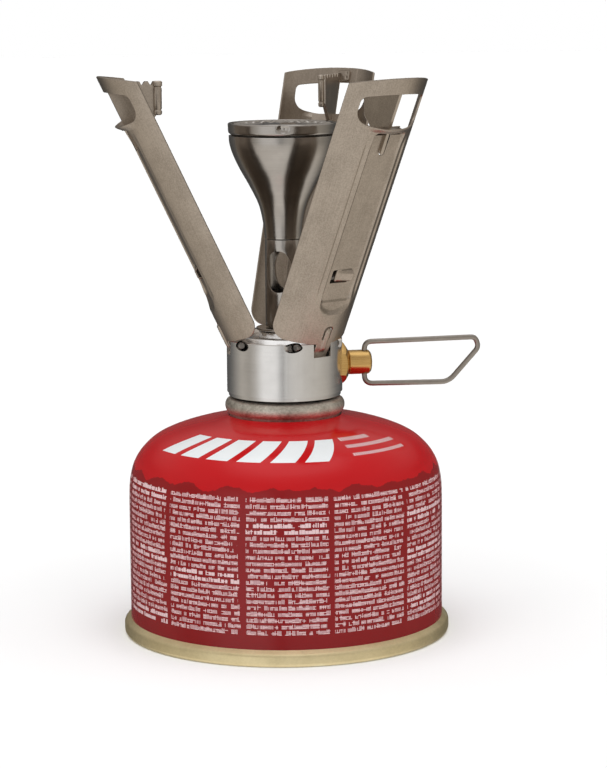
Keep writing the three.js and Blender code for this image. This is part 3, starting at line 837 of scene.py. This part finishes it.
def mixing_tube():
    """The tube with an air hole on two opposite sides."""
    outside = [(TUBE_R, z) for z in np.linspace(TUBE_BOTTOM, BELL_BOTTOM - 0.3, 12)]
    inside = [(r - TUBE_WALL, z) for r, z in reversed(outside)]
    piece = stand_in("mixing_tube", "stove", lathe(outside + inside, 96))
    turns = np.linspace(0, 2 * math.pi, 48, endpoint=False)
    oval = [(3.75 * signed_power(math.cos(t), 0.8), 104.0 + 5.9 * signed_power(math.sin(t), 0.9))
            for t in turns]
    points = [(x, y, z) for x in (-8, 8) for y, z in oval]
    carve(piece, [moved((points, skin(2, len(oval))), Matrix.Rotation(math.radians(60), 4, "Z"))])
    soften(piece, 0.08)


def burner_bell():
    outside = [tuple(p) for p in spline(BELL, 7)]
    inside = [(r - TUBE_WALL, z) for r, z in reversed(outside)]
    stand_in("burner_bell", "stove", lathe(outside + inside, 144))


def burner_cap():
    low = mm_box("burner_cap")[0].z
    outline = [(14.2, low), (14.9, low), (CAP_R - 0.1, low + 0.6), (CAP_R, CAP_TOP - 0.3),
               (CAP_R - 0.3, CAP_TOP), (14.6, CAP_TOP), (14.4, CAP_TOP - 0.7), (14.2, low)]
    cap = rounded(outline, 0.25)[:-1]
    side = max(range(len(cap) - 1), key=lambda k: cap[k + 1][1] - cap[k][1])
    cap[side + 1:side + 1] = list(np.linspace(cap[side], cap[side + 1], 9))[1:-1]
    points, faces = lathe(cap, 288)
    stand_in("burner_cap", "stove", (dimpled(points), faces))


def dimpled(points):
    """Three crimps pressed into the burner's rim, each a hollow with a fold down its middle."""
    out = []
    for x, y, z in points:
        r = math.hypot(x, y)
        for k in range(3):
            centre = math.radians(FRONT + 0.5 + 120 * k)
            across = (math.atan2(y, x) - centre + math.pi) % (2 * math.pi) - math.pi
            u = across * CAP_R / 1.9
            v = (z - CAP_TOP + 1.1) / 1.5
            reach = math.hypot(u, v)
            if reach < 1 and r > 14.7:
                fold = 0.5 * max(0.0, 1 - abs(u) * 4) * max(0.0, 0.7 - abs(v))
                press = 0.85 * (1 - reach ** 2) ** 1.2 - fold
                x, y = x * (1 - press / r), y * (1 - press / r)
        out.append((x, y, z))
    return out


def flame_plate():
    """A ribbed plate with two rings of ports."""
    low = mm_box("flame_plate")[0].z
    high = CAP_TOP - 0.35
    outline = [(0, low), (14.15, low), (14.15, high - 0.5), (13.6, high), (12.2, high),
               (11.6, high - 0.35), (6.2, high - 0.35), (5.2, high), (0, high)]
    points, faces = lathe(rounded(outline, 0.25), 216, closed=False)
    ribs = 24
    ribbed = []
    for x, y, z in points:
        if z > high - 0.4 and math.hypot(x, y) > 6.5:
            z += 0.3 * math.cos(ribs * math.atan2(y, x))
        ribbed.append((x, y, z))
    piece = stand_in("flame_plate", "stove", (ribbed, faces))
    ports = []
    for radius, count in ((11.2, 30), (8.6, 22)):
        for k in range(count):
            at = Matrix.Rotation(2 * math.pi * k / count, 4, "Z") @ Matrix.Translation((radius, 0, 0))
            ports.append(moved(rod(0.45, 142, 148, 10), at))
    carve(piece, [merged(*ports)])


# ---------- legs ----------

def leg_azimuth(number):
    """The way a leg stands, as an angle about the axis."""
    axis = JOINTS[f"leg_{number}_fold"]["axis"]
    return math.atan2(axis[0], -axis[1])


def leg_matrix(number):
    """From a leg drawn upright about the axis, heights from its hinge pin, to where it stands open."""
    return (Matrix.Rotation(leg_azimuth(number), 4, "Z") @ Matrix.Translation((HINGE_R, 0, HINGE_Z))
            @ Matrix.Rotation(OPEN, 4, "Y") @ Matrix.Translation((-HINGE_R, 0, 0)))


LEG_RISE = (LEG_TOP_Z - HINGE_Z + (SHELL_R - HINGE_R) * math.sin(OPEN)) / math.cos(OPEN)


def leg_top(radius):
    return LEG_RISE + (radius - SHELL_R) * math.tan(OPEN + math.atan(TOP_SLOPE))


def on_leg(r, z):
    """Where a point at radius r and height z of the open leg lies on the upright one."""
    dr = r - HINGE_R
    dz = z - HINGE_Z
    return (HINGE_R + dr * math.cos(OPEN) - dz * math.sin(OPEN), dr * math.sin(OPEN) + dz * math.cos(OPEN))


def smooth(value):
    value = np.clip(value, 0, 1)
    return value * value * (3 - 2 * value)


def leg_outline(w, s):
    """The leg's flat pattern: w runs round the arc and s up the leg."""
    top = leg_top(SHELL_R * np.cos(w / SHELL_R))
    edge = SHELL_HALF_ARC * SHELL_R
    body = inside_both(np.abs(w) - edge, SHELL_BOTTOM - s, 4.2)
    tongue = rectangle(w, s, TONGUE_HALF, TONGUE_BOTTOM, 6.0, 0.5)
    shape = np.maximum(np.minimum(body, tongue), (s - top) * 0.95)
    window = inside_both(np.abs(w) - WINDOW_HALF, WINDOW_BOTTOM - s, 3.6)
    window = inside_both(window, (s - top + BAND) * 0.95, 1.3)
    slot = rectangle(w, s, 5.0, PANEL_TOP - 0.3, SLOT_TOP, 0.5)
    blade_slot = rectangle(w, s, 1.05, 60.8, PANEL_TOP + 0.5, 1.0)
    tab_window = rectangle(w + 0.5, s, 3.3, TAB_BOTTOM, TAB_TOP, 0.4)
    finger_slot = np.maximum(rectangle(w, s, 1.5, -5.0, 7.7, 1.45), 3.4 - s)
    finger = rectangle(w, s, 1.0, -9.0, 7.2, 0.95)
    finger_slot = np.maximum(finger_slot, -finger)
    for hole in (window, slot, blade_slot, tab_window, finger_slot):
        shape = np.maximum(shape, -hole)
    return shape


def leg_surface(w, s):
    """Bends the flat pattern to the arc and presses its panel, the dish below it and the finger's rib."""
    x = SHELL_R * np.cos(w / SHELL_R)
    y = SHELL_R * np.sin(w / SHELL_R)
    outside = rectangle(y, s, PANEL_HALF + 0.3, PANEL_BOTTOM - 0.1, SLOT_TOP + 0.1, 1.4)
    shoulder = smooth((1.9 - outside) / 0.8) * smooth((s - 14.0) / 6.0) * smooth((SLOT_TOP - s) / 6.0)
    x = x - 0.42 * shoulder
    below = np.maximum(PANEL_BOTTOM - s, 0)
    bowl = smooth((1 - (below / 3.7) ** 2 - (y / 6.2) ** 2) / 0.5) * (s < PANEL_BOTTOM + 1)
    x = x + bowl * (PANEL_FACE + 0.4 - x)
    panel = smooth(-outside / 0.65)
    x = x + panel * (PANEL_FACE - x)
    rib = np.sqrt(np.clip(1 - (y / 0.95) ** 2, 0, 1)) * smooth((7.4 - s) / 1.0) * smooth((s + 0.8) / 1.5)
    lip = smooth((s - SLOT_TOP + 0.3) / 2.2) * np.clip(1 - (w / 10) ** 2, 0, 1) * smooth((72.5 - s) / 2.0)
    x = x + 0.5 * rib + 1.5 * lip - 0.25 * smooth((1.0 - s) / 3.0)
    return np.stack((x, y, s), axis=-1)


def leg_shell_mesh():
    reach = SHELL_HALF_ARC * SHELL_R + 0.6
    heights = (TONGUE_BOTTOM - 0.6, LEG_RISE + 1)
    fine = ((-7.3, 7.3, -5.4, 5.4, -1.0, 1.0), (PANEL_BOTTOM - 0.1, SLOT_TOP - 0.3))
    sheet = sheet_metal(leg_outline, (-reach, reach), heights, 0.42, leg_surface, SHEET, fine=fine)
    eye_outline = [(1.2, -TONGUE_HALF), (1.75, -TONGUE_HALF), (1.75, TONGUE_HALF), (1.2, TONGUE_HALF)]
    eye = moved(lathe(eye_outline, 32), Matrix.Translation((HINGE_R, 0, 0)) @ LYING)
    web = block(HINGE_R + 1.3, SHELL_R - 0.75, -TONGUE_HALF + 0.1, TONGUE_HALF - 0.1, 0.3, 1.5)
    return merged(sheet, eye, web, leg_tab(), tray_mesh())


def leg_tab():
    """The small tab lanced from the panel's window: a swelling that stops short of the window's foot."""
    length = TAB_TOP - TAB_BOTTOM - 0.75

    def outline(w, t):
        return rectangle(w - 0.35, t, 2.75, -0.4, length, 0.5)

    def place(w, t):
        swell = smooth(t / 0.9) * smooth((length - t) / 0.5)
        x = PANEL_FACE - 0.45 + 0.6 * swell + 0.22 * w * swell
        return np.stack((x, w, TAB_TOP - 0.1 - t), axis=-1)

    return flipped(sheet_metal(outline, (-3, 4), (-0.9, length + 0.5), 0.22, place, 0.5, 0.08))


def blade_outline(r, z):
    """The toothed blade: r from the axis and z above the floor, with the leg open."""
    u = HINGE_R + (r - HINGE_R) * math.cos(OPEN) - (z - HINGE_Z) * math.sin(OPEN)
    s = (r - HINGE_R) * math.sin(OPEN) + (z - HINGE_Z) * math.cos(OPEN)
    phase = (r - HEM_OUTER - 0.65) / TOOTH_PITCH
    tooth = np.clip(1.35 - 1.75 * np.abs(np.sin(math.pi * phase)) ** 1.3, 0, 1)
    toothed = (r > HEM_OUTER) & (r < 47.6)
    top = BLADE_TOP_Z - TOOTH_DEPTH * np.where(toothed, tooth, 0.0)
    shape = np.maximum((z - top) * 0.6, HEM_INNER + 1.2 - r)
    shape = np.maximum(shape, u - BLADE_OUTER)
    lug_foot = (15.6, 60.9)
    knee = (13.6, 64.2)
    hem_foot = on_leg(HEM_INNER + 1.2, HEM_BOTTOM_Z + 0.6)
    under = np.minimum(below_line(u, s, lug_foot, knee), below_line(u, s, knee, hem_foot))
    return np.maximum(shape, under)


def blade_mesh():
    def place(r, z):
        return np.stack((r, np.full_like(r, -BLADE / 2), z), axis=-1)

    heights = (HEM_BOTTOM_Z - 12, BLADE_TOP_Z + 1)
    return flipped(sheet_metal(blade_outline, (HEM_INNER, 52), heights, 0.2, place, -BLADE, 0.1))


def hem_mesh():
    """The rolled inner edge: a flattened roll with a groove near each end."""
    bottom = HEM_BOTTOM_Z
    top = BLADE_TOP_Z
    levels = ((bottom, 0.55), (bottom + 0.25, 0.85), (bottom + 1.1, 0.92), (bottom + 1.35, 0.74),
              (bottom + 1.6, 0.74), (bottom + 1.85, 0.86), (top - 2.1, 0.9), (top - 1.85, 0.76),
              (top - 1.6, 0.76), (top - 1.35, 1.0), (top - 0.3, 1.0), (top, 0.7))
    centre = (HEM_INNER + HEM_OUTER) / 2
    sides = 28
    points = []
    for z, scale in levels:
        for k in range(sides):
            angle = 2 * math.pi * k / sides
            x = centre + 1.28 * scale * signed_power(math.cos(angle), 0.7)
            points.append((x, 0.98 * scale * signed_power(math.sin(angle), 0.7), z))
    return points, skin(len(levels), sides)


def flange_mesh():
    """The blade's tab, bent against the inside of the top band and held by two spots."""
    radius = SHELL_R - SHEET
    top = leg_top(radius) - 0.9
    middle = -2.25
    angle = middle / radius

    def outline(w, s):
        return rectangle(w - middle, s, 1.95, top - 3.3, top, 0.6)

    def place(w, s):
        spot = np.zeros_like(w)
        for height in (top - 0.9, top - 2.3):
            spot += 0.25 * np.exp(-((w - middle + 1.0) ** 2 + (s - height) ** 2) / 0.08)
        r = radius - 0.65 + spot - 0.05 * (s - top)
        across = w - middle
        x = r * math.cos(angle) - across * math.sin(angle)
        y = r * math.sin(angle) + across * math.cos(angle)
        return np.stack((x, y, s), axis=-1)

    return flipped(sheet_metal(outline, (-4.6, 0.2), (top - 4, top + 0.4), 0.16, place, -0.5, 0.08))


def lug_mesh():
    """The end of the blade that shows in the panel's slot."""
    def outline(w, s):
        return rectangle(w, s, 0.75, 61.1, PANEL_TOP + 0.2, 0.7)

    def place(w, s):
        return np.stack((np.full_like(w, PANEL_FACE - 0.12), w, s), axis=-1)

    return sheet_metal(outline, (-1.1, 1.1), (60.6, PANEL_TOP + 0.6), 0.2, place, 0.45, 0.1)


def shade_plate_mesh():
    """Two dark plates behind the panel, which close the slots that would otherwise show daylight and are painted
    shade: they stand for the shadow deep inside the slots.
    """
    return merged(*(block(PANEL_BACK - 0.9, PANEL_BACK - 0.6, -half, half, low, high)
                    for half, low, high in TRAYS))


def tray_mesh():
    """The shallow trays on the panel's back that hold those plates."""
    trays = []
    for half, low, high in TRAYS:
        wide = half + 0.2
        trays.append(block(PANEL_BACK - 1.15, PANEL_BACK - 0.85, -wide, wide, low - 0.2, high + 0.2))
        for side in (-half, half - 0.3):
            trays.append(block(PANEL_BACK - 1.0, PANEL_BACK + 0.1, side, side + 0.3, low, high))
    return merged(*trays)


def remember(piece, matrix):
    """Keeps where each point lies on the upright leg, so that the metal's grain follows the leg."""
    layer = piece.data.attributes.new("upright", "FLOAT_VECTOR", "POINT")
    points = np.array([vertex.co for vertex in piece.data.vertices]) / MM - np.array(AXIS)
    layer.data.foreach_set("vector", (turned(points, matrix.inverted()) * MM).ravel())


def legs():
    """Three legs alike, each with its shell, blade, dark plates of painted shade behind its slots, and hinge pin.
    """
    shell = leg_shell_mesh()
    plate = merged(blade_mesh(), hem_mesh())
    flange = merged(flange_mesh(), lug_mesh())
    pin_outline = rounded([(0, -8), (PIN_R, -8), (PIN_R, 8), (0, 8)], 0.45)
    for number in (1, 2, 3):
        body = f"leg_{number}"
        turn = Matrix.Rotation(leg_azimuth(number), 4, "Z")
        matrix = leg_matrix(number)
        remember(stand_in(f"{body}_shell", body, moved(shell, matrix)), matrix)
        blade = merged(moved(plate, turn), moved(flange, matrix))
        remember(stand_in(f"{body}_blade", body, blade), matrix)
        # Dark plates behind the slots: painted shade, standing for the shadow deep inside them.
        new_piece(f"{body}_shade_plate", moved(shade_plate_mesh(), matrix), "pin", body)
        pin = lathe(pin_outline, 32, closed=False)
        stand_in(f"hinge_pin_{number}", "stove", moved(pin, turn @ AT_HINGE), "pin")


# ---------- stage ----------

def camera():
    data = bpy.data.cameras.new("camera")
    data.lens = CAMERA_LENS
    data.sensor_width = 36.0
    data.clip_end = 20.0
    view = bpy.data.objects.new("camera", data)
    turn = Matrix.Rotation(CAMERA_AZIMUTH, 4, "Z")
    place = turn @ Vector((0, -CAMERA_DISTANCE, CAMERA_HEIGHT)) + AXIS
    forward = turn @ Vector((math.sin(CAMERA_YAW) * math.cos(CAMERA_PITCH),
                             math.cos(CAMERA_YAW) * math.cos(CAMERA_PITCH), -math.sin(CAMERA_PITCH)))
    right = turn @ Vector((math.cos(CAMERA_YAW), -math.sin(CAMERA_YAW), 0))
    up = right.cross(forward)
    right_rolled = right * math.cos(CAMERA_ROLL) + up * math.sin(CAMERA_ROLL)
    up_rolled = up * math.cos(CAMERA_ROLL) - right * math.sin(CAMERA_ROLL)
    matrix = Matrix((right_rolled, up_rolled, -forward)).transposed().to_4x4()
    matrix.translation = place * MM
    view.matrix_world = matrix
    bpy.context.scene.collection.objects.link(view)
    bpy.context.scene.camera = view


def floor():
    points, faces = block(-6000, 6000, -6000, 6000, -1.0, -0.02)
    mesh = bpy.data.meshes.new("floor")
    mesh.from_pydata([[c * MM for c in p] for p in points], [], faces)
    plane = bpy.data.objects.new("floor", mesh)
    bpy.context.scene.collection.objects.link(plane)
    white = Surface("floor_white")
    white.set("Base Color", (0.83, 0.83, 0.83))
    white.set("Roughness", 0.9)
    white.set("Specular IOR Level", 0.1)
    mesh.materials.append(white.material)
    plane.visible_glossy = False


def overhead_light():
    """A broad soft light from above and a little in front."""
    data = bpy.data.lights.new("overhead", "SUN")
    data.angle = math.radians(64)
    data.energy = 2.95
    lamp = bpy.data.objects.new("overhead", data)
    tilt = math.radians(11)
    to_light = Matrix.Rotation(CAMERA_AZIMUTH, 3, "Z") @ Vector((0, -math.sin(tilt), math.cos(tilt)))
    lamp.matrix_world = to_light.to_track_quat("Z", "Y").to_matrix().to_4x4()
    lamp.visible_glossy = False
    bpy.context.scene.collection.objects.link(lamp)


# What polished metal sees around the horizon and in the lit floor, as stops of
# (degrees right of the camera, brightness, warmth)
AROUND = ((-180, 0.1, 0), (-150, 0.08, 0), (-128, 0.16, 0.4), (-95, 0.44, 1), (-74, 0.36, 1),
          (-60, 0.5, 0.6), (-44, 0.88, 0), (-16, 0.88, 0), (-9, 0.58, 0), (-4, 0.34, 0), (2, 0.58, 0.2),
          (20, 0.64, 0.4), (50, 0.58, 0.7), (81, 0.47, 1), (100, 0.38, 1), (125, 0.16, 0.6),
          (150, 0.08, 0), (180, 0.1, 0))
BELOW = ((-180, 0.05, 0), (-142, 0.1, 0.5), (-112, 0.66, 1), (-60, 0.8, 0.6), (20, 0.84, 0.4),
         (70, 0.76, 0.8), (98, 0.72, 1), (122, 0.34, 1), (146, 0.06, 0), (180, 0.05, 0))


def ring(n, turn, stops):
    """A colour that changes round the horizon."""
    ramp = n.add("ShaderNodeValToRGB")
    elements = ramp.color_ramp.elements
    elements.remove(elements[-1])
    for k, (degrees, value, warmth) in enumerate(stops):
        position = 0.5 + degrees / 360.0
        element = elements[0] if k == 0 else elements.new(position)
        element.position = position
        element.color = (value, value * (0.99 - 0.06 * warmth), value * (0.97 - 0.15 * warmth), 1)
    n.feed(ramp.inputs[0], turn)
    return ramp.outputs[0]


def background(n, colour, strength=1.0):
    node = n.add("ShaderNodeBackground")
    n.feed(node.inputs[0], colour)
    node.inputs[1].default_value = strength
    return node.outputs[0]


def choice(n, factor, a, b):
    node = n.add("ShaderNodeMixShader")
    for socket, value in zip(node.inputs, (factor, a, b)):
        n.feed(socket, value)
    return node.outputs[0]


def studio():
    """A white room for diffuse light, and the softboxes and dark gaps around it that metal reflects."""
    world = bpy.data.worlds.new("studio")
    bpy.context.scene.world = world
    world.use_nodes = True
    world.node_tree.nodes.clear()
    n = Nodes(world.node_tree)
    x, y, height = n.split(n.add("ShaderNodeTexCoord").outputs["Generated"])
    azimuth = n.math("ARCTAN2", y, x)
    turn = n.math("FRACT", n.math("MULTIPLY_ADD", azimuth, 0.5 / math.pi, 0.5 - FRONT / 360.0))

    horizon = ring(n, turn, AROUND)
    lit_floor = n.mix(n.spread(height, -0.45, -0.95), ring(n, turn, BELOW), (0.92, 0.89, 0.84))
    seen = n.mix(n.spread(height, 0.3, 0.55), horizon, (0.52, 0.49, 0.46))
    seen = n.mix(n.spread(height, 0.86, 0.95), seen, (1.15, 1.15, 1.15))
    seen = n.mix(n.spread(height, -0.25, -0.55), seen, lit_floor)

    rays = n.add("ShaderNodeLightPath").outputs
    white = (1, 1, 1)
    plain = choice(n, rays["Is Diffuse Ray"], background(n, white), background(n, white, 0.32))
    output = n.add("ShaderNodeOutputWorld")
    n.feed(output.inputs[0], choice(n, rays["Is Glossy Ray"], plain, background(n, seen)))


def carried_over():
    """The small inner CAD nodes keep their shape and get worked materials."""
    for name, node in frame["nodes"].items():
        node.data.materials.clear()
        node.data.materials.append(MATERIALS[SLOTS[name]])


carried_over()
canister_shell()
canister_base()
valve_cup()
stove_body()
gland_nut()
valve_spindle()
wire_handle()
tube_foot()
mixing_tube()
burner_bell()
burner_cap()
flame_plate()
legs()
camera()
floor()
overhead_light()
studio()
bpy.context.scene.view_settings.view_transform = "Standard"
